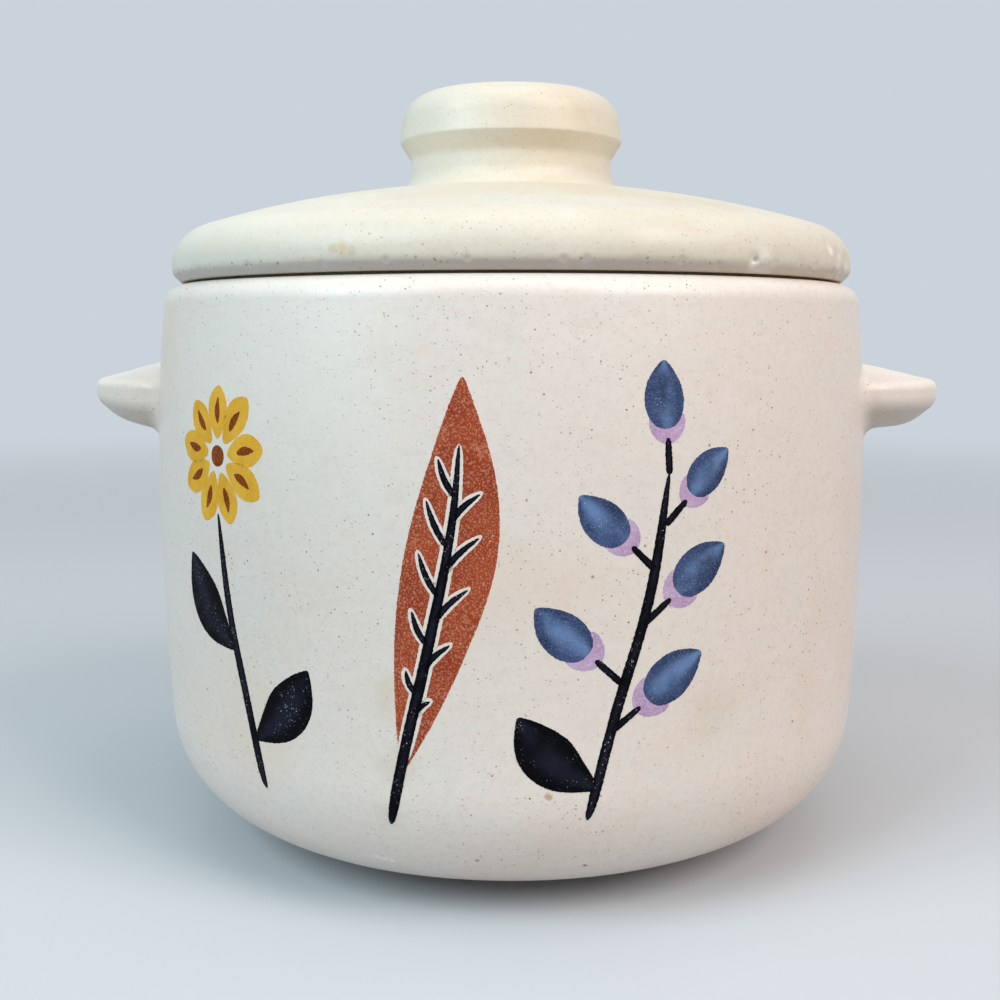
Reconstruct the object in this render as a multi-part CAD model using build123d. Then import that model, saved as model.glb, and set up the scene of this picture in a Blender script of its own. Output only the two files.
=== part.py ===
from build123d import *
import math
import os

# Stoneware bean pot: a squat round jar with a lug on each side and a loose lid with a broad knob.
# Sizes are in millimetres, +Z is up, and the origin is on the jar's axis in the plane it stands on.
# Every piece is an outline of radius against height, turned about its own upright axis.

# Jar, outside
body_radius = 89.0  # widest part of the wall
rim_height = 136.8  # flat seat that carries the lid
shoulder_height = 31.8  # rim down to the widest part
base_radius = 86.0  # where wall and underside would meet without the round corner
underside_rise = 11.0  # the underside climbs this far from the foot to that corner
base_corner_round = 29.0
rim_outer_round = 5.0

# Jar, mouth and inside
mouth_radius = 77.0
rim_width = 9.3
rim_inner_round = 1.2
wall = 7.0
floor_thickness = 8.5
inside_corner_round = 25.0

# Foot: a bare ring round a shallow recess
foot_radius = 45.0
foot_width = 6.0
foot_recess = 1.2

# Lugs: two pressed ledges, luted on opposite sides of the wall
lug_projection = 18.9  # beyond the widest part of the wall
lug_plan_radius = 28.0
lug_drop = 34.6  # rim down to the flat underside of a lug
lug_tip_thickness = 11.2
lug_top_slope = 13.0  # degrees, falling outwards
lug_upper_round = 2.2
lug_lower_round = 8.4

# Lid: a low dome with a bevelled edge and a flange that drops into the mouth
lid_setback = 1.6  # the lid's edge stands in from the outside of the rim
lid_edge_height = 11.4  # rim up to where edge and dome would meet
lid_rise = 13.2  # from there up to the crown
lid_bevel_width = 2.0
lid_bevel_height = 2.4
lid_edge_round = 10.0
lid_thickness = 7.0
lid_hollow_round = 4.0
flange_clearance = 1.5  # between the flange and the mouth, all round
flange_width = 5.5
flange_depth = 8.0
flange_tip_round = 1.6

# Knob: a squat cap over a waisted neck, luted to the crown; heights are above the crown
knob_radius = 28.0  # the ridge
knob_ridge_height = 11.6
knob_facet_radius = 25.5  # lower end of the facet under the ridge
knob_facet_height = 7.2
neck_radius = 24.9
neck_height = 4.8
knob_foot_radius = 29.0  # where the neck flares into the lid
knob_cap_radius = 26.6  # where side and top would meet without the round corner
knob_cap_height = 22.6
knob_cap_round = 8.0
knob_height = 24.1

# Heights and radii that follow from those above
widest_height = rim_height - shoulder_height
rim_radius = mouth_radius + rim_width
lid_radius = rim_radius - lid_setback
lid_edge_top = rim_height + lid_edge_height
lid_top = lid_edge_top + lid_rise
dome_radius = (lid_radius**2 + lid_rise**2) / (2 * lid_rise)
flange_radius = mouth_radius - flange_clearance
hollow_radius = flange_radius - flange_width


def turned(outline):
    """The solid that an outline in the XZ plane makes when it turns about the Z axis."""
    return revolve(outline, axis=Axis.Z)


def rounded(outline, point, radius):
    """An outline in the XZ plane with its corner at this (radius, height) point rounded."""
    corner = outline.vertices().sort_by_distance((point[0], 0, point[1]))[0]
    return fillet(corner, radius)


def wall_outline(belly_radius, top_radius, *bottom):
    """Half of what a wall encloses: widest at the belly, closed by points from the wall inwards."""
    belly = (belly_radius, widest_height)
    top = (top_radius, rim_height)
    with BuildSketch(Plane.XZ) as outline:
        with BuildLine():
            TangentArc(belly, bottom[0], tangent=(0, -1))
            TangentArc(belly, top, tangent=(0, 1))
            Polyline(*bottom, (0, bottom[-1][1]), (0, rim_height), top)
        make_face()
    return outline.sketch


def jar_outline():
    """Half of the jar's outside, filled in to the axis, which the lugs are also cut to fit."""
    base = (base_radius, underside_rise)
    outline = wall_outline(body_radius, rim_radius, base, (foot_radius, 0))
    outline = rounded(outline, base, base_corner_round)
    return rounded(outline, (rim_radius, rim_height), rim_outer_round)


def hollow_outline():
    """Half of the jar's hollow, from its floor up through the mouth."""
    inner_base = (base_radius - wall, floor_thickness)
    outline = wall_outline(body_radius - wall, mouth_radius, inner_base)
    return rounded(outline, inner_base, inside_corner_round)


def pot_body():
    """The jar: one thrown wall with a flat rim and a bare foot ring."""
    recess = Rectangle(foot_radius - foot_width, foot_recess, align=(Align.MIN, Align.MIN))
    section = jar_outline() - hollow_outline() - Plane.XZ * recess
    return turned(rounded(section, (mouth_radius, rim_height), rim_inner_round))


def lug():
    """The +X lug: a round ledge with a sloping top and a blunt nose, cut to sit on the wall."""
    underside = rim_height - lug_drop
    tip_top = underside + lug_tip_thickness
    root_top = tip_top + lug_plan_radius * math.tan(math.radians(lug_top_slope))
    upper_nose = (lug_plan_radius, tip_top)
    lower_nose = (lug_plan_radius, underside)
    with BuildSketch(Plane.XZ) as outline:
        with BuildLine():
            Polyline((0, underside), lower_nose, upper_nose, (0, root_top), close=True)
        make_face()
    upper_round = min(lug_upper_round, 0.2 * lug_tip_thickness)
    lower_round = min(lug_lower_round, 0.75 * lug_tip_thickness)
    nose = rounded(outline.sketch, upper_nose, upper_round)
    nose = rounded(nose, lower_nose, lower_round)
    centre = body_radius + lug_projection - lug_plan_radius
    return Pos(centre, 0, 0) * turned(nose) - turned(jar_outline())


def dome_height(radius, inset):
    """Height of the lid's dome at a radius, on the surface this far inside the outer one."""
    return lid_top - dome_radius + math.sqrt((dome_radius - inset) ** 2 - radius**2)


def lid_outline():
    """Half of the lid above its seat, filled in to the axis, which the knob is also cut to fit."""
    edge = (lid_radius, lid_edge_top)
    bevel_top = (lid_radius, rim_height + lid_bevel_height)
    bevel_bottom = (lid_radius - lid_bevel_width, rim_height)
    with BuildSketch(Plane.XZ) as outline:
        with BuildLine():
            TangentArc((0, lid_top), edge, tangent=(1, 0))
            Polyline(edge, bevel_top, bevel_bottom, (0, rim_height), (0, lid_top))
        make_face()
    return rounded(outline.sketch, edge, lid_edge_round)


def lid():
    """The lid: dome, bevelled edge, flat seat and locating flange in one thrown piece."""
    flange_bottom = rim_height - flange_depth
    outer_tip = (flange_radius, flange_bottom)
    inner_tip = (hollow_radius, flange_bottom)
    ceiling_edge = (hollow_radius, dome_height(hollow_radius, lid_thickness))
    ceiling = (0, lid_top - lid_thickness)
    with BuildSketch(Plane.XZ) as plug:
        with BuildLine():
            Polyline((0, rim_height), (0, flange_bottom), outer_tip, (flange_radius, rim_height), close=True)
        make_face()
    with BuildSketch(Plane.XZ) as hollow:
        with BuildLine():
            TangentArc(ceiling, ceiling_edge, tangent=(1, 0))
            Polyline(ceiling_edge, inner_tip, (0, flange_bottom), ceiling)
        make_face()
    section = lid_outline() + plug.sketch - hollow.sketch
    section = rounded(section, ceiling_edge, lid_hollow_round)
    tip_round = min(flange_tip_round, 0.4 * flange_width)
    section = rounded(section, inner_tip, tip_round)
    return turned(rounded(section, outer_tip, tip_round))


def lid_knob():
    """The knob: flared foot, waist, facet, ridge and shallow domed cap, solid clay."""
    foot = (knob_foot_radius, dome_height(knob_foot_radius, 0))
    buried = foot[1] - lid_thickness / 2
    neck = (neck_radius, lid_top + neck_height)
    facet = (knob_facet_radius, lid_top + knob_facet_height)
    ridge = (knob_radius, lid_top + knob_ridge_height)
    cap = (knob_cap_radius, lid_top + knob_cap_height)
    top = (0, lid_top + knob_height)
    with BuildSketch(Plane.XZ) as outline:
        with BuildLine():
            TangentArc(neck, foot, tangent=(0, -1))
            Polyline(neck, facet, ridge, cap)
            TangentArc(top, cap, tangent=(1, 0))
            Polyline(top, (0, buried), (knob_foot_radius, buried), foot)
        make_face()
    return turned(rounded(outline.sketch, cap, knob_cap_round)) - turned(lid_outline())


right = lug()
pieces = {
    "pot_body": pot_body(),
    "lug_right": right,
    "lug_left": Rot(0, 0, 180) * right,
    "lid": lid(),
    "lid_knob": lid_knob(),
}

os.makedirs("parts", exist_ok=True)
for name, piece in pieces.items():
    export_step(piece, f"parts/{name}.step")
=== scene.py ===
import math
import random

import bmesh
import bpy
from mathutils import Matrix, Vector


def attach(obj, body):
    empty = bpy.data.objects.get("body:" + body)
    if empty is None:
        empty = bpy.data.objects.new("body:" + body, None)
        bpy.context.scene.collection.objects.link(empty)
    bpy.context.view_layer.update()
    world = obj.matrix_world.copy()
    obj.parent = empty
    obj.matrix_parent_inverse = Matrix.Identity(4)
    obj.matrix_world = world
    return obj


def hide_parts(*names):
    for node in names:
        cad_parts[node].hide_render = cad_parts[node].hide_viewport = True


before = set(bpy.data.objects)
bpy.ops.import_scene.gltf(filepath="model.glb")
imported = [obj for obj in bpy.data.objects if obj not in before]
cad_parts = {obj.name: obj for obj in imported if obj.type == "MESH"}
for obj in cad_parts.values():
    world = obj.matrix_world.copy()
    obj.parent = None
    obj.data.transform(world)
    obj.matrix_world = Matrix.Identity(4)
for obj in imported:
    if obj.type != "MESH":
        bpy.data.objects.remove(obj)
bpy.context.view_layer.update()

random.seed(7)
MM = 0.001


# ---------------------------------------------------------------- jar
# The body of the pot is one thrown stoneware wall with a rounded base, a flat rim and a bare foot ring.
# It is pulled up ring by ring, from the middle of the underside, over the rim and down the inside.
# The glaze is a satin cream, specked with iron from the clay, and glossier inside.
rim_height, floor_height, foot_recess = 136.8, 8.5, 1.2
wall_radius, mouth_radius, foot_radius = 89.0, 77, 45
shoulder_round = 400
jar_corners = [  # radius, height and round of each corner, in mm
    (0, foot_recess, 0), (39, foot_recess, 1.0), (40.2, 0, 0.6), (foot_radius, 0, 1.5), (86, 11, 29),
    (wall_radius, 58, 800), (wall_radius, 111, shoulder_round), (86.3, rim_height, 5),
    (mouth_radius, rim_height, 1.2), (82, 105, 180), (82, 58, 600), (79, floor_height, 25),
    (0, floor_height, 0),
]
bare_rim = mouth_radius + 1, 82.5  # radii of the strip of rim left bare, under the lid
wall_unevenness = 0.22, 55, rim_height, 14  # depth, spacing, fixed height and fade, in mm


def rounded_outline(corners, step, most_turn=math.radians(9)):
    """Points in metres, at most a step (mm) apart, along straight runs between rounded corners."""
    points = [Vector(corners[0][:2])]
    for before, corner, after in zip(corners, corners[1:], corners[2:]):
        here, round_radius = Vector(corner[:2]), corner[2]
        back = (Vector(before[:2]) - here).normalized()
        ahead = (Vector(after[:2]) - here).normalized()
        half = back.angle(ahead) / 2
        turn = math.pi - 2 * half
        reach = round_radius / math.tan(half)
        centre = here + (back + ahead).normalized() * round_radius / math.sin(half)
        first, last = here + back * reach - centre, here + ahead * reach - centre
        count = max(3, math.ceil(turn / most_turn), math.ceil(round_radius * turn / step))
        for n in range(count + 1):
            share = n / count
            spoke = first * math.sin((1 - share) * turn) + last * math.sin(share * turn)
            points.append(centre + spoke / math.sin(turn))
    points.append(Vector(corners[-1][:2]))
    rings = [points[0]]
    for point in points[1:]:
        start = rings[-1]
        count = max(1, math.ceil((point - start).length / step))
        rings.extend(start + (point - start) * n / count for n in range(1, count + 1))
    return [(radius * MM, height * MM) for radius, height in rings]


def throw(name, corners, segments, step):
    """A closed piece on the Z axis, pulled ring by ring through its outline from pole to pole."""
    rings = rounded_outline(corners, step)
    bottom, top = rings[1], rings[-2]
    bpy.ops.object.select_all(action="DESELECT")
    bpy.ops.mesh.primitive_circle_add(vertices=segments, radius=bottom[0], location=(0, 0, bottom[1]))
    piece = bpy.context.object
    piece.name = piece.data.name = name
    bpy.ops.object.transform_apply()
    bpy.ops.object.mode_set(mode="EDIT")
    bpy.ops.mesh.extrude_region_move(TRANSFORM_OT_translate={"value": (0, 0, rings[0][1] - bottom[1])})
    bpy.ops.mesh.merge(type="CENTER")
    bpy.ops.mesh.select_all(action="DESELECT")
    bpy.ops.mesh.select_non_manifold()
    for (radius, height), (next_radius, next_height) in zip(rings[1:-2], rings[2:-1]):
        bpy.ops.mesh.extrude_region_move(TRANSFORM_OT_translate={"value": (0, 0, next_height - height)})
        wider = next_radius / radius
        bpy.ops.transform.resize(value=(wider, wider, 1), center_override=(0, 0, next_height))
    bpy.ops.mesh.extrude_region_move(TRANSFORM_OT_translate={"value": (0, 0, rings[-1][1] - top[1])})
    bpy.ops.mesh.merge(type="CENTER")
    bpy.ops.mesh.select_all(action="SELECT")
    bpy.ops.mesh.normals_make_consistent(inside=False)
    bpy.ops.object.mode_set(mode="OBJECT")
    bpy.ops.object.shade_smooth()
    return piece


def apply_modifier(piece, kind, **settings):
    """Adds a modifier with these settings and applies it."""
    bpy.ops.object.select_all(action="DESELECT")
    bpy.context.view_layer.objects.active = piece
    modifier = piece.modifiers.new(kind.lower(), kind)
    for key, value in settings.items():
        setattr(modifier, key, value)
    bpy.ops.object.modifier_apply(modifier=modifier.name)


def make_uneven(piece, depth, spacing, fixed_height, fade):
    """Hand-thrown unevenness (all in mm), which fades out towards a height where the piece has to fit."""
    free = piece.vertex_groups.new(name="free")
    for vertex in piece.data.vertices:
        away = abs(vertex.co.z / MM - fixed_height) / fade
        above_foot = vertex.co.z / MM / fade
        free.add([vertex.index], max(0, min(1, away, above_foot)), "REPLACE")
    swell = bpy.data.textures.new("swell", "CLOUDS")
    swell.noise_scale = spacing * MM
    apply_modifier(piece, "DISPLACE", texture=swell, texture_coords="GLOBAL", strength=2 * depth * MM,
                   mid_level=0.5, vertex_group="free")
    piece.vertex_groups.clear()


def add_node(tree, kind, inputs, **settings):
    """A shader node, with each input either set to a value or linked to another node's output."""
    node = tree.nodes.new("ShaderNode" + kind)
    for key, value in settings.items():
        setattr(node, key, value)
    for key, value in inputs.items():
        if isinstance(value, bpy.types.NodeSocket):
            tree.links.new(value, node.inputs[key])
        else:
            node.inputs[key].default_value = value
    return node


def new_material(name):
    """A material, its node tree, its surface shader, and the coordinates that its patterns can follow."""
    material = bpy.data.materials.new(name)
    material.use_nodes = True
    tree = material.node_tree
    return material, tree, tree.nodes["Principled BSDF"], add_node(tree, "TexCoord", {}).outputs


def emboss(tree, shader, height):
    """Gives a surface its relief, from a height in mm."""
    bump = add_node(tree, "Bump", {"Height": height, "Distance": MM, "Strength": 1.0})
    tree.links.new(bump.outputs["Normal"], shader.inputs["Normal"])


def colour(red, green, blue):
    """A colour as seen, 0 to 255, in the form a shader takes."""
    return [((c / 255 + 0.055) / 1.055) ** 2.4 for c in (red, green, blue)] + [1]


def mixed(tree, share, under, over):
    """One colour over another by a share from 0 to 1."""
    return add_node(tree, "Mix", {0: share, 6: under, 7: over}, data_type="RGBA").outputs[2]


def ramp(tree, value, low, high, start=0.0, end=1.0):
    """A value mapped smoothly from low..high to start..end."""
    inputs = {"Value": value, "From Min": low, "From Max": high, "To Min": start, "To Max": end}
    return add_node(tree, "MapRange", inputs, interpolation_type="SMOOTHSTEP").outputs["Result"]


def sums(tree, operation, first, second):
    """Two values added, multiplied or otherwise worked out together."""
    return add_node(tree, "Math", {0: first, 1: second}, operation=operation).outputs[0]


def noise(tree, place, spacing, detail=3.0, roughness=0.55):
    """Cloudy noise with its features about a spacing (mm) apart."""
    inputs = {"Vector": place, "Scale": 1 / (spacing * MM), "Detail": detail, "Roughness": roughness}
    return add_node(tree, "TexNoise", inputs).outputs["Fac"]


def specks(tree, place, spacing, biggest, share):
    """Ragged specks of random size, and a random number for each: spacing and biggest radius are in mm."""
    ragged_spacing, ragged_reach, soft_edge = 1.6 * biggest, 1.1 * biggest, 0.45 * biggest
    wander = add_node(tree, "TexNoise",
                      {"Vector": place, "Scale": 1 / (ragged_spacing * MM), "Detail": 1.0})
    shift = add_node(tree, "VectorMath", {0: wander.outputs["Color"], 1: (0.5, 0.5, 0.5)},
                     operation="SUBTRACT")
    moved = add_node(tree, "VectorMath", {0: shift.outputs[0], 1: [ragged_reach * MM] * 3, 2: place},
                     operation="MULTIPLY_ADD")
    cells = add_node(tree, "TexVoronoi", {"Vector": moved.outputs[0], "Scale": 1 / (spacing * MM)})
    chance = add_node(tree, "SeparateColor", {0: cells.outputs["Color"]}).outputs
    size = add_node(tree, "MapRange",
                    {"Value": chance[0], "From Min": 1 - share, "To Max": biggest / spacing})
    inside = sums(tree, "SUBTRACT", size.outputs["Result"], cells.outputs["Distance"])
    return ramp(tree, inside, 0.0, soft_edge / spacing), chance[1]


def on_wall(angle, height, radius=wall_radius):
    """The point (mm) at an angle in degrees from the middle of the front, positive to the right."""
    turn = math.radians(angle)
    return Vector((radius * math.sin(turn), -radius * math.cos(turn), height))


def stain(tree, place, centre, size):
    """A soft patch about a point (mm), with its edge broken up by noise."""
    solid, faded = 0.7 * size, 1.25 * size
    away = add_node(tree, "VectorMath", {0: place, 1: list(centre * MM)}, operation="DISTANCE")
    ragged = sums(tree, "MULTIPLY", noise(tree, place, 0.7 * size), size * MM)
    reach = sums(tree, "ADD", away.outputs["Value"], ragged)
    return ramp(tree, reach, solid * MM, faded * MM, 1.0, 0.0)


def speckled_glaze(name, body, warm, cool, roughness, speckle=1.0, marks=()):
    """Satin stoneware glaze: clouded body colour, iron specks and pits, and a faint orange-peel surface."""
    material, tree, shader, coordinates = new_material(name)
    place = coordinates["Object"]
    iron_dark, iron_tan = colour(76, 56, 44), colour(162, 130, 102)
    pale_fleck_and_glint, dust = colour(248, 242, 234), colour(192, 170, 148)
    streaked = add_node(tree, "Mapping", {"Vector": place, "Scale": (1, 1, 4)}).outputs[0]
    tint = mixed(tree, ramp(tree, noise(tree, place, 46), 0.50, 0.72, 0, 0.8), body, warm)
    tint = mixed(tree, ramp(tree, noise(tree, place, 30), 0.50, 0.28, 0, 0.6), tint, cool)
    tint = mixed(tree, ramp(tree, noise(tree, streaked, 9, 5), 0.45, 0.75, 0, 0.30), tint, warm)
    tint = mixed(tree, ramp(tree, noise(tree, place, 1.6, 4, 0.7), 0.42, 0.72, 0, 0.16), tint, dust)
    pale, _ = specks(tree, place, spacing=1.5, biggest=0.26, share=0.5)
    faint, faint_tone = specks(tree, place, spacing=0.6, biggest=0.2, share=0.9)
    iron, iron_tone = specks(tree, place, spacing=0.85, biggest=0.27, share=0.7)
    rare, rare_tone = specks(tree, place, spacing=2.6, biggest=0.4, share=0.2)
    crowd = ramp(tree, noise(tree, place, 24), 0.36, 0.64, 0.3, speckle)
    # The pale specks are partly pale flecks and partly painted glints on the rims of pits.
    tint = mixed(tree, sums(tree, "MULTIPLY", pale, 0.35 * speckle), tint, pale_fleck_and_glint)
    faint_strength = ramp(tree, faint_tone, 0, 1, 0.15 * speckle, 0.5 * speckle)
    tint = mixed(tree, sums(tree, "MULTIPLY", faint, faint_strength), tint, iron_tan)
    iron_strength = sums(tree, "MULTIPLY", iron, ramp(tree, iron_tone, 0, 1, 0.4, 1.0))
    iron_colour = mixed(tree, iron_tone, iron_tan, iron_dark)
    tint = mixed(tree, sums(tree, "MULTIPLY", iron_strength, crowd), tint, iron_colour)
    rare_colour = mixed(tree, rare_tone, iron_dark, iron_tan)
    tint = mixed(tree, sums(tree, "MULTIPLY", rare, 0.8 * speckle), tint, rare_colour)
    for centre, size, mark_colour, strength in marks:
        share = sums(tree, "MULTIPLY", stain(tree, place, centre, size), strength)
        tint = mixed(tree, share, tint, mark_colour)
    tree.links.new(tint, shader.inputs["Base Color"])
    wear = ramp(tree, noise(tree, place, 12, 5), 0.3, 0.75, roughness - 0.05, roughness + 0.09)
    tree.links.new(sums(tree, "ADD", wear, sums(tree, "MULTIPLY", iron, 0.2)), shader.inputs["Roughness"])
    skin = sums(tree, "MULTIPLY", noise(tree, place, 5.5, 2), 0.09)
    grit = sums(tree, "MULTIPLY", noise(tree, place, 0.9, 3), 0.026)
    pits = sums(tree, "MULTIPLY", sums(tree, "ADD", iron, rare), -0.05)
    emboss(tree, shader, sums(tree, "ADD", sums(tree, "ADD", skin, grit), pits))
    return material


def bare_clay(name, body, sandy, dark_grain):
    """Unglazed fired clay: matt, with a sandy grain."""
    material, tree, shader, coordinates = new_material(name)
    shader.inputs["Roughness"].default_value = 0.9
    place = coordinates["Object"]
    tint = mixed(tree, ramp(tree, noise(tree, place, 8, 5), 0.3, 0.7, 0, 0.6), body, sandy)
    grains, _ = specks(tree, place, spacing=0.9, biggest=0.3, share=0.5)
    tint = mixed(tree, sums(tree, "MULTIPLY", grains, 0.5), tint, dark_grain)
    tree.links.new(tint, shader.inputs["Base Color"])
    sand = sums(tree, "MULTIPLY", noise(tree, place, 0.6, 4), 0.12)
    emboss(tree, shader, sums(tree, "SUBTRACT", sand, sums(tree, "MULTIPLY", grains, 0.05)))
    return material


def coat(piece, material, where=None):
    """Gives the material to the whole piece, or where its radius, height (mm) and outward slope pass."""
    piece.data.materials.append(material)
    slot = len(piece.data.materials) - 1
    for face in piece.data.polygons:
        radius, height = face.center.xy.length / MM, face.center.z / MM
        outward = face.normal.xy.dot(face.center.xy.normalized())
        if where is None or where(radius, height, outward):
            face.material_index = slot


jar = throw("jar", jar_corners, 256, 3.0)
make_uneven(jar, *wall_unevenness)
# The run colour paints real runs on the jar and painted shade on the lid's right.
tea_stain, run_stain_and_shade = colour(186, 150, 112), colour(206, 188, 158)
# The first colour here is a painted highlight and the second a painted sheen.
painted_highlight, painted_sheen, iron_spot = colour(245, 239, 226), colour(238, 232, 222), colour(92, 70, 56)
jar_marks = [  # centre, size in mm, colour and strength of each mark
    (on_wall(8, 32.1, 87.4), 1.6, tea_stain, 0.8), (on_wall(10.7, 34.5, 87.5), 1.4, run_stain_and_shade, 0.7),
    (on_wall(-13, 52), 9, run_stain_and_shade, 0.3), (on_wall(-12.5, 38), 8, run_stain_and_shade, 0.35),
    (on_wall(-13.5, 25), 7, run_stain_and_shade, 0.3), (on_wall(31, 47), 12, run_stain_and_shade, 0.2),
    # The three pale marks low at the front left, from -17.6 to -15.4 degrees, are a painted highlight.
    (on_wall(140, 60), 14, run_stain_and_shade, 0.3), (on_wall(-17.6, 14.6, 80.3), 1.4, painted_highlight, 0.9),
    (on_wall(-16.5, 14.3, 80.1), 1.6, painted_highlight, 0.9), (on_wall(-15.4, 13.9, 79.7), 1.4, painted_highlight, 0.9),
    (on_wall(14.4, 13.8, 79.6), 1.1, iron_spot, 0.8), (on_wall(-1.8, 16.2, 81.6), 0.9, iron_spot, 0.6),
    # The two broad pale marks over the lugs paint light on their tops.
    (on_wall(90, 124, 106), 38, painted_highlight, 0.7), (on_wall(-90, 124, 106), 38, painted_highlight, 0.8),
    # The broad milky mark at the top left of the wall is a painted sheen.
    (on_wall(-34, 116), 56, painted_sheen, 0.45),
]
cream_glaze = speckled_glaze(
    "cream_glaze", colour(230, 218, 208), colour(229, 209, 193), colour(225, 219, 211),
    roughness=0.36, marks=jar_marks)
inside_glaze = speckled_glaze(
    "inside_glaze", colour(228, 219, 202), colour(222, 203, 176), colour(220, 216, 204), roughness=0.2)
foot_clay = bare_clay("bare_clay", colour(206, 188, 160), colour(196, 176, 146), colour(120, 96, 74))
coat(jar, cream_glaze)
coat(jar, inside_glaze, lambda radius, height, outward:
     outward < 0.1 and floor_height - 0.5 < height < rim_height - 1)
coat(jar, foot_clay, lambda radius, height, outward:
     height < foot_recess + 0.1 and radius < foot_radius + 1)
coat(jar, foot_clay, lambda radius, height, outward:
     height > rim_height - 0.15 and bare_rim[0] < radius < bare_rim[1])
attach(jar, "pot")
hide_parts("pot_body")


# ---------------------------------------------------------------- lugs
# Two pressed ledges of the same clay, luted on opposite sides and sponged smooth where they meet the wall.
# Each is a round of clay whose root is drawn out along the wall, and which ends within its thickness.
lug_centre = 79.9
right_corners = [(0, 102.2, 0), (21, 102.2, 11), (28.1, 108, 4.5), (28, 113.4, 2.4), (0, 119.9, 0)]
left_corners = [(0, 102.2, 0), (23, 102.2, 9), (28.1, 107.4, 4.2), (28, 113.4, 2.4), (0, 121, 0)]
right_tilt, left_tilt = 0, 9  # slope of a lug's underside, in degrees, up towards its end
tilt_pivot = 92.8  # the underside keeps its height at this radius
side_root, top_root, under_root = 3.8, 1.4, 3.2  # radii of the sponged corner between lug and wall
wall_core = 85.6  # a lug reaches in to this radius
trimmer_middle, trimmer_length = 110, 60  # of the cylinder that trims a lug there
shoulder_start = 90.1  # the wall curves in above this height
lug_unevenness = 0.2, 16, rim_height, 1  # depth, spacing, fixed height and fade, in mm


def shoulder_radius(height):
    """Radius of the wall (mm) near the lugs, where it starts to curve in towards the rim."""
    return wall_radius - max(0, height - shoulder_start) ** 2 / (2 * shoulder_round)


def sponge_root(piece):
    """Draws the piece's root out along the wall, in a round hollow that ends flush with the wall."""
    normals = [vertex.normal.copy() for vertex in piece.data.vertices]
    for vertex, normal in zip(piece.data.vertices, normals):
        outward = Vector((*vertex.co.xy, 0)).normalized()
        sideways = Vector((-outward.y, outward.x, 0))
        upward, downward = max(0, normal.z), max(0, -normal.z)
        root = side_root + (top_root - side_root) * upward + (under_root - side_root) * downward
        out = vertex.co.xy.length / MM - shoulder_radius(vertex.co.z / MM)
        if out > root:
            continue
        turn = math.pi / 2 * min(1, 1 - out / root)
        spread = root * (1 - math.cos(turn)) * MM
        sink = (root * (1 - math.sin(turn)) - max(0, out)) * MM
        along = normal - outward * normal.dot(outward)
        along /= max(0.5, along.length)
        swing = spread * along.dot(sideways) / (wall_radius * MM)
        distance = vertex.co.xy.length + sink
        bearing = math.atan2(vertex.co.y, vertex.co.x) + swing
        vertex.co = (distance * math.cos(bearing), distance * math.sin(bearing),
                     vertex.co.z + spread * along.z)


def lug(name, corners, tilt):
    """A lug on the +X side, with its underside at a tilt."""
    piece = throw(name, corners, 256, 0.5)
    bpy.ops.transform.translate(value=(lug_centre * MM, 0, 0))
    bpy.ops.object.transform_apply()
    under, top = corners[0][1] * MM, corners[3][1] * MM
    for vertex in piece.data.vertices:
        low = max(0, (top - vertex.co.z) / (top - under))
        vertex.co.z += math.tan(math.radians(tilt)) * (vertex.co.x - tilt_pivot * MM) * low
    make_uneven(piece, *lug_unevenness)
    sponge_root(piece)
    bpy.ops.mesh.primitive_cylinder_add(vertices=256, radius=wall_core * MM, depth=trimmer_length * MM,
                                        location=(0, 0, trimmer_middle * MM))
    trimmer = bpy.context.object
    apply_modifier(piece, "BOOLEAN", object=trimmer, operation="DIFFERENCE")
    bpy.data.objects.remove(trimmer)
    make_uneven(piece, *wall_unevenness)
    piece.select_set(True)
    bpy.ops.object.shade_smooth()
    piece.data.materials.clear()
    coat(piece, cream_glaze)
    return piece


right_lug = lug("right_lug", right_corners, right_tilt)
left_lug = lug("left_lug", left_corners, left_tilt)
left_lug.rotation_euler.z = math.pi
bpy.ops.object.transform_apply()
for piece, node in ((right_lug, "lug_right"), (left_lug, "lug_left")):
    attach(piece, "pot")
    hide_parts(node)


# ---------------------------------------------------------------- lid
# One thrown piece: a low dome with a bevelled edge, a flat seat that rests on the rim, and a flange inside.
# Its glaze is more ivory than the jar's, thin over brownish clay on the bevel, where shade is painted too,
# with painted light on its left and painted shade on its right, and knocked at the right-hand end.
crown, ceiling = 161.4, 154.4  # heights of the dome's middle, outside and inside
flange_inside, flange_outside, flange_foot = 70, 75.5, 128.8
seat_relief = 0.6  # outside the seat, the underside clears the rim by this much
bevel_top = 139.4
lid_corners = [
    (0, ceiling, 0), (38, ceiling, 200), (flange_inside, 144.6, 4), (flange_inside, flange_foot, 1.6),
    (flange_outside, flange_foot, 1.6), (flange_outside, rim_height, 0.6), (78.4, rim_height, 0.3),
    (79.2, rim_height + seat_relief, 0.3), (82.6, rim_height + seat_relief, 0.9),
    (84.6, bevel_top, 2.6), (84.7, 148.2, 10), (43.4, crown, 230), (0, crown, 0),
]
lid_unevenness = 0.18, 45, rim_height, 5  # depth, spacing, fixed height and fade, in mm
lid_edge, edge_width = 84.5, 3.5  # radius of the edge, and how far in from it knocks and brown clay reach
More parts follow.
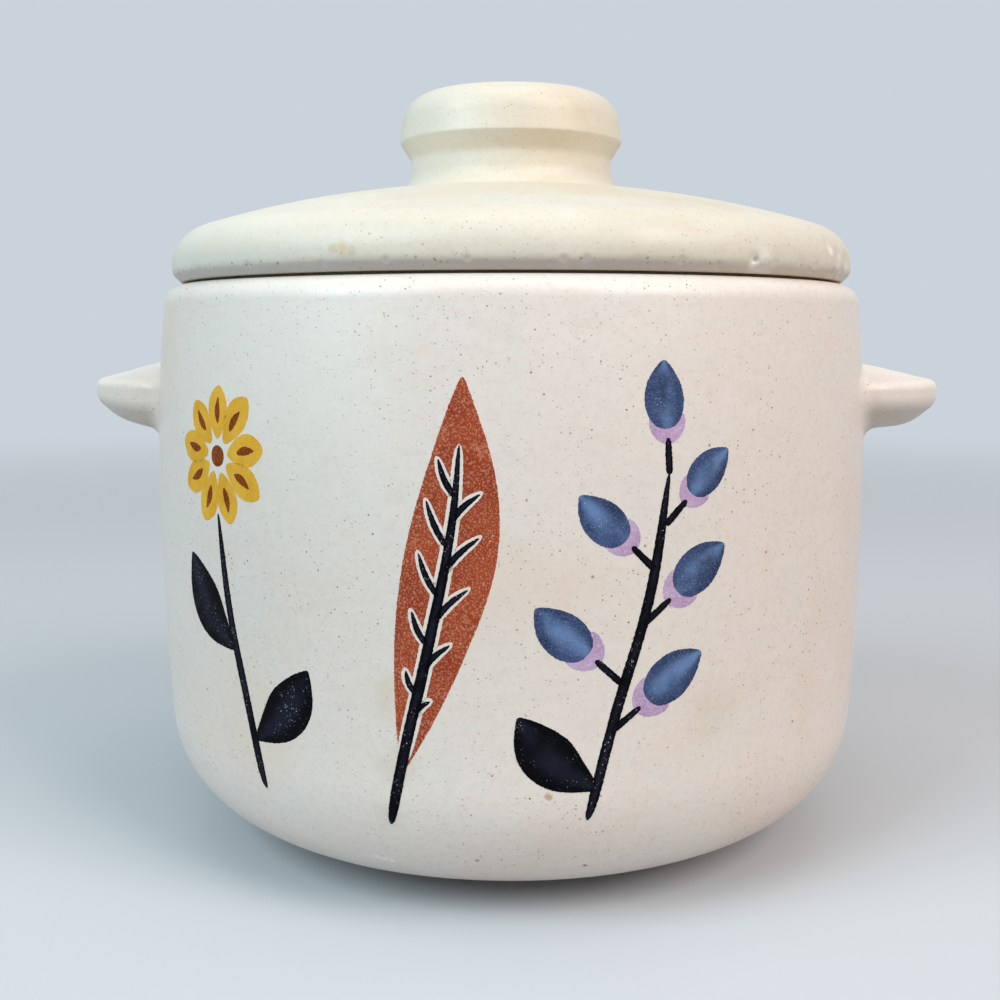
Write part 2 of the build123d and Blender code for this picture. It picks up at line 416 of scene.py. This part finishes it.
knocks = [  # wall angle (degrees), height, depth (below 0 where clay is pushed up) and size, in mm
    (39.6, 139.8, 0.5, 2.3), (40.0, 139.9, 0.7, 1.0), (42.4, 140.9, -0.2, 2.4), (44.0, 139.6, 0.25, 1.6),
    (60.4, 145.4, 0.4, 3.2), (64.0, 142.2, 0.45, 3.0), (67.5, 145.0, -0.2, 2.6), (70.5, 141.8, 0.55, 3.4),
    (66.5, 139.6, 0.4, 1.8), (55.0, 139.8, 0.3, 1.5), (50.0, 140.2, 0.2, 1.8), (62.0, 138.0, 0.35, 2.0),
    (-2.9, 139.4, 0.3, 1.2), (10.0, 139.3, 0.3, 1.3), (13.0, 139.4, 0.3, 1.4), (27.0, 139.3, 0.3, 1.5),
    (-38.0, 139.2, 0.3, 1.4), (-52.0, 139.0, 0.3, 1.6), (69.0, 137.8, 0.6, 3.0), (-63.0, 137.9, 0.4, 2.6),
    (33.0, 138.4, 0.3, 1.4), (-24.0, 138.6, 0.3, 1.3), (-14.0, 139.3, 0.3, 1.2), (20.0, 138.2, 0.25, 2.4),
    (120.0, 140.5, 0.4, 2.6), (163.0, 138.6, 0.5, 2.4), (-128.0, 141.0, 0.35, 2.2),
]


def knock(piece, marks):
    """Dents and lumps in the edge, made in clay that is first divided finely where each one goes."""
    bpy.ops.object.select_all(action="DESELECT")
    bpy.context.view_layer.objects.active = piece
    bpy.ops.object.mode_set(mode="EDIT")
    bpy.context.tool_settings.mesh_select_mode = (False, False, True)
    bpy.ops.mesh.select_all(action="DESELECT")
    clay = bmesh.from_edit_mesh(piece.data)
    places = [(on_wall(angle, height, lid_edge) * MM, size * MM) for angle, height, _, size in marks]
    for face in clay.faces:
        middle = face.calc_center_median()
        face.select = any((middle - place).length < 1.4 * size for place, size in places)
    bpy.ops.mesh.subdivide(number_cuts=3)
    bpy.context.tool_settings.mesh_select_mode = (True, False, False)
    clay = bmesh.from_edit_mesh(piece.data)
    edge = [vertex for vertex in clay.verts if vertex.co.xy.length > (lid_edge - edge_width) * MM]
    for angle, height, depth, size in marks:
        bpy.ops.mesh.select_all(action="DESELECT")
        place = on_wall(angle, height, lid_edge) * MM
        min(edge, key=lambda vertex: (vertex.co - place).length_squared).select = True
        push = on_wall(angle, 0, -depth) * MM
        bpy.ops.transform.translate(value=push, use_proportional_edit=True,
                                    proportional_edit_falloff="SMOOTH", proportional_size=size * MM)
    bpy.ops.object.mode_set(mode="OBJECT")


def brown_and_shade_the_bevel(material, brown_and_shade, pit_brown):
    """Lets brownish clay show through thin glaze on the bevel, with painted shade of the down-facing bevel
    in the same tint, less of both at its right, with pits along its top.
    """
    rough_edge = 1.1  # the brown's edge wanders over this height, in mm
    tree = material.node_tree
    colour_socket = tree.nodes["Principled BSDF"].inputs["Base Color"]
    tint = colour_socket.links[0].from_socket
    place = add_node(tree, "TexCoord", {}).outputs["Object"]
    right, _, height = add_node(tree, "SeparateXYZ", {0: place}).outputs
    flat = add_node(tree, "VectorMath", {0: place, 1: (1, 1, 0)}, operation="MULTIPLY").outputs[0]
    radius = add_node(tree, "VectorMath", {0: flat}, operation="LENGTH").outputs["Value"]
    ragged = sums(tree, "SUBTRACT", noise(tree, place, 4, 4), 0.5)
    level = sums(tree, "ADD", height, sums(tree, "MULTIPLY", ragged, rough_edge * MM))
    edge_start = lid_edge - edge_width
    outer = ramp(tree, radius, (edge_start - 2) * MM, edge_start * MM)
    # The band is partly brownish clay through thin glaze and partly painted shade of the down-facing bevel,
    # with less of both towards the right.
    band = sums(tree, "MULTIPLY", ramp(tree, level, (bevel_top + 0.4) * MM, (bevel_top - 0.3) * MM), outer)
    fading = ramp(tree, right, 20 * MM, 70 * MM, 0.45, 0.1)
    tint = mixed(tree, sums(tree, "MULTIPLY", band, fading), tint, brown_and_shade)
    pits, _ = specks(tree, place, spacing=1.3, biggest=0.5, share=0.9)
    row = sums(tree, "MULTIPLY", ramp(tree, level, (bevel_top - 1.0) * MM, (bevel_top - 0.2) * MM),
               ramp(tree, level, (bevel_top + 1.2) * MM, (bevel_top + 0.2) * MM))
    row = sums(tree, "MULTIPLY", sums(tree, "MULTIPLY", row, outer), pits)
    tint = mixed(tree, sums(tree, "MULTIPLY", row, 0.55), tint, pit_brown)
    tree.links.new(tint, colour_socket)


lid = throw("lid_cover", lid_corners, 448, 1.7)
make_uneven(lid, *lid_unevenness)
knock(lid, knocks)
ivory = colour(218, 208, 190), colour(214, 196, 170), colour(216, 210, 200)
ivory_roughness = 0.42
pale_knock_mark, raw_clay, clay_blush = colour(246, 240, 232), colour(192, 160, 146), colour(206, 186, 174)
drip_stain, drip_heart, painted_light_ivory = colour(206, 182, 146), colour(210, 184, 142), colour(236, 233, 220)
lid_marks = [  # centre, size in mm, colour and strength of each mark
    (on_wall(-22, 141.9, lid_edge), 2.2, drip_stain, 0.7),
    (on_wall(-20.5, 142, lid_edge), 2.8, drip_heart, 0.85),
    (on_wall(-19, 141.3, lid_edge), 2.0, tea_stain, 0.35),
    (on_wall(62, 142, lid_edge), 8, clay_blush, 0.3),
    # Painted light on the lid's left end.
    (on_wall(-48, 145, lid_edge), 60, painted_light_ivory, 0.3),
    # Painted shade on the dome's right-hand edge.
    (on_wall(21.5, 143.5, lid_edge), 24, run_stain_and_shade, 0.35),
    # Pale patches at the chip and the knocks at the right-hand end.
    (on_wall(41, 138.3, 84), 9, pale_knock_mark, 0.4),
    (on_wall(39.6, 139.4, lid_edge), 2.2, pale_knock_mark, 0.8),
    (on_wall(61, 143.5, lid_edge), 2.2, pale_knock_mark, 0.6),
    (on_wall(65, 142.5, lid_edge), 1.8, pale_knock_mark, 0.5),
    (on_wall(66, 146.5, lid_edge), 1.6, raw_clay, 0.6),
    (on_wall(70, 143, lid_edge), 1.8, raw_clay, 0.5),
    # Painted shade on the crown to the right of the knob.
    (on_wall(18, 159, 50), 20, run_stain_and_shade, 0.2),
]
lid_glaze = speckled_glaze("lid_glaze", *ivory, ivory_roughness, speckle=0.65, marks=lid_marks)
# The bevel tint paints shade as well as the brownish clay through thin glaze.
brown_and_shade_the_bevel(lid_glaze, colour(182, 174, 182), colour(112, 92, 78))
coat(lid, lid_glaze)
coat(lid, inside_glaze, lambda radius, height, outward:
     radius < flange_outside - 1.5 and outward < 0.05 and flange_foot + 0.2 < height < ceiling + 0.1)
coat(lid, foot_clay, lambda radius, height, outward:
     abs(height - rim_height) < 0.2 and radius > flange_outside - 0.5)
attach(lid, "lid")
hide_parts("lid")


# ---------------------------------------------------------------- knob
# A squat cap turned from solid clay over a waisted neck, luted to the crown of the lid.
# A crisp ridge parts the cap from the facet under it, and the foot is sponged out into the dome.
knob_corners = [
    (0, crown - 4, 0), (30, crown - 4, 1), (32.4, crown - 1.35, 0.05), (25.5, crown - 0.63, 5),
    (25.2, crown + 7.1, 2.6), (28, crown + 11.4, 0.9), (26.6, crown + 22.6, 8), (14, crown + 24.1, 60),
    (0, crown + 24.1, 0),
]
knob = throw("knob", knob_corners, 256, 1.0)
make_uneven(knob, *lid_unevenness)
# Both marks on the knob are painted: shade on the cap's right and light on its left.
knob_light_and_shade = [  # centre, size in mm, colour and strength of each mark
    (on_wall(25, 174, 27), 20, colour(214, 190, 158), 0.3),
    (on_wall(-50, 172, 26), 34, colour(238, 234, 222), 0.3),
]
knob_glaze = speckled_glaze("knob_glaze", *ivory, ivory_roughness, speckle=0.4, marks=knob_light_and_shade)
coat(knob, knob_glaze)
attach(knob, "lid")
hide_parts("lid_knob")


# ---------------------------------------------------------------- print
# Flat printed decoration fired on the front of the wall: three sprigs in gold, rust, slate, lilac and black.
# Each stroke is drawn flat, bent along its line, stood against the wall and pressed on as a skin of ink.
skin_thickness = 0.12
wall_clearance = 100.0
edge_grain = 0.3  # the ink's edge is broken up in steps of this length


def brush_stroke(path, widths, fine=3):
    """A flat stroke along a smooth path through points (mm), with its widths (mm) at even steps."""
    points = [Vector((x * MM, y * MM, 0)) for x, y in path]
    length = sum((b - a).length for a, b in zip(points, points[1:]))
    step = length / (len(widths) - 1)
    bpy.ops.object.select_all(action="DESELECT")
    bpy.ops.mesh.primitive_plane_add(size=1, location=(step / 2, 0, 0))
    stroke = bpy.context.object
    stroke.scale = (step, widths[0] * MM, 1)
    bpy.ops.object.transform_apply()
    for edge in stroke.data.edges:
        edge.select = all(stroke.data.vertices[v].co.x > step / 2 for v in edge.vertices)
    for vertex in stroke.data.vertices:
        vertex.select = vertex.co.x > step / 2
    stroke.data.polygons[0].select = False
    bpy.ops.object.mode_set(mode="EDIT")
    bpy.ops.transform.resize(value=(1, widths[1] / widths[0], 1))
    for before, after in zip(widths[1:], widths[2:]):
        bpy.ops.mesh.extrude_region_move(TRANSFORM_OT_translate={"value": (step, 0, 0)})
        bpy.ops.transform.resize(value=(1, after / before, 1))
    bpy.ops.object.mode_set(mode="OBJECT")
    apply_modifier(stroke, "SUBSURF", levels=fine, render_levels=fine)
    bpy.ops.object.mode_set(mode="EDIT")
    bpy.context.tool_settings.mesh_select_mode = (False, True, False)
    bpy.ops.mesh.select_all(action="DESELECT")
    sheet = bmesh.from_edit_mesh(stroke.data)
    for edge in sheet.edges:
        run = edge.verts[1].co - edge.verts[0].co
        edge.select = abs(run.x) > abs(run.y)
    cuts = math.ceil(step / 2 ** fine / (edge_grain * MM)) - 1
    if cuts > 0:
        bpy.ops.mesh.subdivide(number_cuts=cuts)
    bpy.context.tool_settings.mesh_select_mode = (True, False, False)
    bpy.ops.object.mode_set(mode="OBJECT")
    line = bpy.data.curves.new("line", "CURVE")
    line.dimensions = "2D"
    line.resolution_u = 24
    spline = line.splines.new("BEZIER")
    spline.bezier_points.add(len(points) - 1)
    for bezier_point, point in zip(spline.bezier_points, points):
        bezier_point.co = point
        bezier_point.handle_left_type = bezier_point.handle_right_type = "AUTO"
    guide = bpy.data.objects.new("line", line)
    bpy.context.scene.collection.objects.link(guide)
    apply_modifier(stroke, "CURVE", object=guide, deform_axis="POS_X")
    bpy.data.objects.remove(guide)
    return stroke


def drop(root, heading, length, widths, curl=0.0, fine=2):
    """A short stroke from a root point (mm), heading in degrees from the right, with a slight curl."""
    turn = math.radians(heading)
    ahead = Vector((math.cos(turn), math.sin(turn)))
    aside = Vector((-ahead.y, ahead.x))
    start = Vector(root)
    middle = start + ahead * length / 2 + aside * curl
    return brush_stroke([start, middle, start + ahead * length], widths, fine)


def press_on(name, strokes, wall_angle, lift, ragged, ink):
    """Joins flat strokes into one printed piece at a wall angle (degrees), a lift (mm) above the glaze."""
    bpy.ops.object.select_all(action="DESELECT")
    for stroke in strokes:
        stroke.select_set(True)
    bpy.context.view_layer.objects.active = strokes[0]
    bpy.ops.object.join()
    piece = bpy.context.object
    piece.name = piece.data.name = name
    bpy.ops.object.mode_set(mode="EDIT")
    bpy.ops.mesh.select_all(action="DESELECT")
    bpy.ops.mesh.select_non_manifold()
    bpy.ops.object.mode_set(mode="OBJECT")
    edge = piece.vertex_groups.new(name="edge")
    edge.add([vertex.index for vertex in piece.data.vertices if vertex.select], 1.0, "REPLACE")
    grain = bpy.data.textures.new("grain", "CLOUDS")
    grain.noise_scale = 0.45 * MM
    grain.cloud_type = "COLOR"
    apply_modifier(piece, "DISPLACE", texture=grain, texture_coords="LOCAL", direction="RGB_TO_XYZ",
                   strength=ragged * MM, mid_level=0.5, vertex_group="edge")
    piece.vertex_groups.clear()
    piece.select_set(True)
    piece.rotation_euler.x = math.pi / 2
    piece.location.y = -wall_clearance * MM
    bpy.ops.object.transform_apply()
    piece.rotation_euler.z = math.radians(wall_angle)
    apply_modifier(piece, "SHRINKWRAP", target=jar, wrap_method="PROJECT", wrap_mode="ABOVE_SURFACE",
                   use_project_y=True, use_positive_direction=True, offset=lift * MM)
    apply_modifier(piece, "SOLIDIFY", thickness=skin_thickness * MM, offset=-1)
    piece.select_set(True)
    bpy.ops.object.transform_apply()
    bpy.ops.object.shade_smooth_by_angle(angle=math.radians(30))
    coat(piece, ink)
    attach(piece, "pot")


def printed_ink(name, body, deep, grain_colour, grain_size, grain_share, stipple, worn_edge, bloom=None):
    """Stippled fired ink with pale grains of bare glaze, along its worn edges or else down its middle."""
    material, tree, shader, coordinates = new_material(name)
    shader.inputs["Specular IOR Level"].default_value = 0.03
    place = coordinates["Object"]
    across = add_node(tree, "SeparateXYZ", {0: coordinates["UV"]}).outputs[1]
    off_centre = sums(tree, "ABSOLUTE", sums(tree, "SUBTRACT", sums(tree, "MULTIPLY", across, 2.0), 1.0), 0)
    tint = mixed(tree, ramp(tree, noise(tree, place, 7, 4), 0.3, 0.7), body, deep)
    dots = ramp(tree, noise(tree, place, 0.42, 2, 0.7), 0.48, 0.64, 0, stipple)
    tint = mixed(tree, dots, tint, grain_colour)
    if bloom:
        middle = sums(tree, "MULTIPLY", ramp(tree, off_centre, 0.75, 0.1, 0, 0.8),
                      ramp(tree, noise(tree, place, 9), 0.3, 0.65))
        tint = mixed(tree, middle, tint, bloom)
    grains, tone = specks(tree, place, grain_size * 2.2, grain_size, grain_share)
    if worn_edge:
        where = ramp(tree, off_centre, 0.55, 0.98, 0.4, 1.0)
    else:
        where = sums(tree, "MULTIPLY", ramp(tree, off_centre, 0.95, 0.3, 0.2, 1.0),
                     ramp(tree, noise(tree, place, 5), 0.42, 0.62))
    tone_strength = ramp(tree, tone, 0, 1, 0.45, 1.0)
    strength = sums(tree, "MULTIPLY", sums(tree, "MULTIPLY", grains, where), tone_strength)
    tint = mixed(tree, strength, tint, grain_colour)
    tree.links.new(tint, shader.inputs["Base Color"])
    tree.links.new(ramp(tree, noise(tree, place, 4, 4), 0.3, 0.7, 0.45, 0.6), shader.inputs["Roughness"])
    tooth = sums(tree, "MULTIPLY", noise(tree, place, 0.5, 3), 0.02)
    emboss(tree, shader, sums(tree, "SUBTRACT", tooth, sums(tree, "MULTIPLY", grains, 0.02)))
    return material


gold_ink = printed_ink(
    "gold_ink", colour(236, 179, 62), colour(220, 158, 38), colour(240, 204, 120),
    grain_size=0.22, grain_share=0.3, stipple=0.3, worn_edge=True)
rust_ink = printed_ink(
    "rust_ink", colour(166, 70, 42), colour(148, 58, 34), colour(216, 160, 130),
    grain_size=0.3, grain_share=0.6, stipple=0.5, worn_edge=True)
brown_ink = printed_ink(
    "brown_ink", colour(142, 66, 24), colour(118, 50, 18), colour(190, 130, 70),
    grain_size=0.2, grain_share=0.3, stipple=0.3, worn_edge=True)
lilac_ink = printed_ink(
    "lilac_ink", colour(194, 164, 196), colour(174, 140, 176), colour(228, 212, 222),
    grain_size=0.28, grain_share=0.5, stipple=0.4, worn_edge=True)
black_ink = printed_ink(
    "black_ink", colour(9, 9, 13), colour(5, 5, 8), colour(200, 200, 208),
    grain_size=0.17, grain_share=0.65, stipple=0.005, worn_edge=False, bloom=colour(36, 35, 50))
slate_ink = printed_ink(
    "slate_ink", colour(64, 81, 120), colour(44, 56, 88), colour(180, 190, 208),
    grain_size=0.15, grain_share=0.5, stipple=0.12, worn_edge=False, bloom=colour(112, 140, 184))
stem_widths = [2.0, 2.3, 2.2, 2.4, 2.2, 2.3, 1.9, 0.8]
leaf_widths = [0.8, 6.0, 10.4, 12.6, 11.6, 7.6, 0.7]

# The left-hand sprig: a round gold bloom on a bowed stem, with two dark leaves.
bloom_angle = -41
bloom_centre = Vector((-1.5, 99))
petals, petal_marks = [], []
for n in range(9):
    heading = 90 + 40 * n + random.uniform(-3, 3)
    turn = math.radians(heading)
    ahead = Vector((math.cos(turn), math.sin(turn)))
    length = random.uniform(11.4, 12.8)
    petals.append(drop(bloom_centre + ahead * 3.6, heading, length, [1.2, 4.4, 6.6, 7.4, 6.0, 1.6], 0.3, 3))
    petal_marks.append(drop(bloom_centre + ahead * 7.0, heading, 5.6, [0.5, 1.7, 2.1, 1.3, 0.4], 0.3))
petal_marks.append(drop(bloom_centre - Vector((2.4, 0)), 0, 4.8, [2.2, 4.4, 4.6, 4.2, 2.0]))
press_on("print_gold_bloom", petals, bloom_angle, lift=0.03, ragged=0.26, ink=gold_ink)
press_on("print_bloom_marks", petal_marks, bloom_angle, lift=0.05, ragged=0.2, ink=brown_ink)
press_on("print_bloom_stem", [
    brush_stroke([(10, 27), (6, 46), (1.5, 65), (-1.8, 87)], stem_widths),
    drop((2.6, 57), 130, 26, leaf_widths, 2.2, 4),
    drop((8.0, 38), 48, 24, [w * 0.9 for w in leaf_widths], -2.0, 4),
], bloom_angle, lift=0.04, ragged=0.28, ink=black_ink)

# The middle sprig: one tall rust leaf, with a dark rib and veins over a line left bare.
leaf_angle = -7
rib = [(-10, 24), (-7, 38), (-1, 63), (4, 88), (5.5, 104)]
rib_widths = [2.2, 2.4, 2.3, 2.4, 2.2, 1.9, 1.5, 0.7]
leaf_outline = [0.3, 5.3, 9.4, 12.9, 15.6, 17.7, 18.6, 17.9, 15.4, 11.5, 6.4, 0.6]
veins, bare_veins = [], []
for x, height, length in ((-4.2, 50, 5.5), (-1.8, 60, 8), (0.5, 70, 10), (2.4, 80, 10.5), (4.0, 90, 8.5)):
    for heading, shift in ((44, -2), (114, 3)):
        start = (x + shift * 0.22, height + shift)
        veins.append(drop(start, heading, length, [1.1, 1.4, 1.2, 0.4], 0.5))
        bare_veins.append(drop(start, heading, length + 0.7, [2.2, 2.5, 2.3, 1.2], 0.5))
press_on("print_rust_leaf", [brush_stroke([(-7, 36), (-1, 62), (5, 90), (6, 117)], leaf_outline, 4)],
         leaf_angle, lift=0.03, ragged=0.32, ink=rust_ink)
press_on("print_bare_line", bare_veins + [brush_stroke(rib[1:], [w + 1.3 for w in rib_widths])],
         leaf_angle, lift=0.045, ragged=0.3, ink=cream_glaze)
press_on("print_leaf_veins", veins + [brush_stroke(rib, rib_widths)],
         leaf_angle, lift=0.06, ragged=0.24, ink=black_ink)

# The right-hand sprig: slate buds in lilac cups, left and right of a leaning stem, and one dark leaf.
bud_angle = 20
bud_twigs, cups, buds = [], [], []
for root, heading, size in (((-6.0, 45), 38, 1.05), ((-3.4, 55), 138, 1.0), ((0.6, 67), 40, 1.0),
                            ((3.2, 78), 136, 0.92), ((5.2, 87), 46, 0.86), ((6.0, 97), 93, 0.95)):
    turn = math.radians(heading)
    ahead = Vector((math.cos(turn), math.sin(turn)))
    foot = Vector(root) + ahead * 6.5 * size
    bud_twigs.append(drop(root, heading, 8 * size, [1.6, 1.5, 1.4, 1.3]))
    cups.append(drop(foot, heading, 7 * size, [w * size for w in (2.6, 6.6, 8.2, 8.8, 7.0)], 0, 3))
    buds.append(drop(foot + ahead * 3.2 * size, heading, 14.5 * size,
                     [w * size for w in (4.4, 8.2, 9.4, 8.6, 6.0, 0.8)], 0.4, 3))
press_on("print_lilac_cups", cups, bud_angle, lift=0.03, ragged=0.24, ink=lilac_ink)
press_on("print_slate_buds", buds, bud_angle, lift=0.045, ragged=0.28, ink=slate_ink)
press_on("print_bud_stem", bud_twigs + [
    brush_stroke([(-10, 26), (-5, 48), (2, 73), (6, 98)], stem_widths),
    drop((-8.0, 33), 136, 23, [w * 0.9 for w in leaf_widths], 2.0, 4),
], bud_angle, lift=0.06, ragged=0.28, ink=black_ink)


# ---------------------------------------------------------------- studio
# A pale floor that fades into an even pale backdrop, and three large soft lamps.
# The lamps stand overhead, at the front right and at the front left, the last one a little cooler.
backdrop, backdrop_light = colour(202, 211, 219), colour(172, 175, 177)
floor_paint_colour = colour(196, 198, 201)
near_bounce, far_bounce = colour(184, 187, 190), colour(86, 85, 84)  # floor's light, by the pot and beyond


def seen_or_lit(tree, seen, lit):
    """One colour for what is seen, directly or reflected, and another for the light that bounces off it."""
    path = add_node(tree, "LightPath", {}).outputs
    seen_rays = sums(tree, "MAXIMUM", path["Is Camera Ray"], path["Is Glossy Ray"])
    seen_rays = sums(tree, "MAXIMUM", seen_rays, path["Is Transmission Ray"])
    return mixed(tree, seen_rays, lit, seen)


bpy.ops.object.select_all(action="DESELECT")
bpy.ops.mesh.primitive_circle_add(vertices=96, radius=6, fill_type="NGON")
floor = bpy.context.object
floor.name = "floor"
floor_paint, tree, shader, coordinates = new_material("floor_paint")
shader.inputs["Roughness"].default_value = 0.85
far = add_node(tree, "VectorMath", {0: coordinates["Object"]}, operation="LENGTH").outputs["Value"]
bounce = mixed(tree, ramp(tree, far, 0.1, 0.22), near_bounce, far_bounce)
tree.links.new(seen_or_lit(tree, floor_paint_colour, bounce), shader.inputs["Base Color"])
clear = add_node(tree, "BsdfTransparent", {}).outputs[0]
fade = add_node(tree, "MixShader", {0: ramp(tree, far, 0.25, 1.5), 1: shader.outputs[0], 2: clear})
tree.links.new(fade.outputs[0], tree.nodes["Material Output"].inputs["Surface"])
floor.data.materials.append(floor_paint)

world = bpy.data.worlds.new("studio")
bpy.context.scene.world = world
world.use_nodes = True
tree = world.node_tree
tree.links.new(seen_or_lit(tree, backdrop, backdrop_light), tree.nodes["Background"].inputs["Color"])
pot_middle = Vector((0, 0, 0.09))


def lamp(name, place, size, power, tint):
    """A square soft lamp that faces the pot."""
    light = bpy.data.lights.new(name, "AREA")
    light.size = size
    light.energy = power
    light.color = tint
    stand = bpy.data.objects.new(name, light)
    bpy.context.scene.collection.objects.link(stand)
    stand.location = place
    stand.rotation_euler = (pot_middle - Vector(place)).to_track_quat("-Z", "Y").to_euler()


lamp("overhead", (0.1, -0.25, 1.3), 0.9, 4.0, (1, 0.99, 0.97))
lamp("front_right", (1.08, -0.86, 1.1), 0.9, 18, (1, 0.92, 0.885))
lamp("front_left", (-0.96, -0.9, 1.0), 0.9, 16.4, (0.67, 0.92, 1.04))

camera = bpy.data.cameras.new("camera")
camera.lens = 47.54
camera.sensor_width = 36
eye = bpy.data.objects.new("camera", camera)
bpy.context.scene.collection.objects.link(eye)
eye.location = (0.0180, -0.3441, 0.1243)
eye.rotation_euler = (math.radians(82.964), 0, math.radians(3.456))
bpy.context.scene.camera = eye
bpy.context.scene.view_settings.view_transform = "Standard"
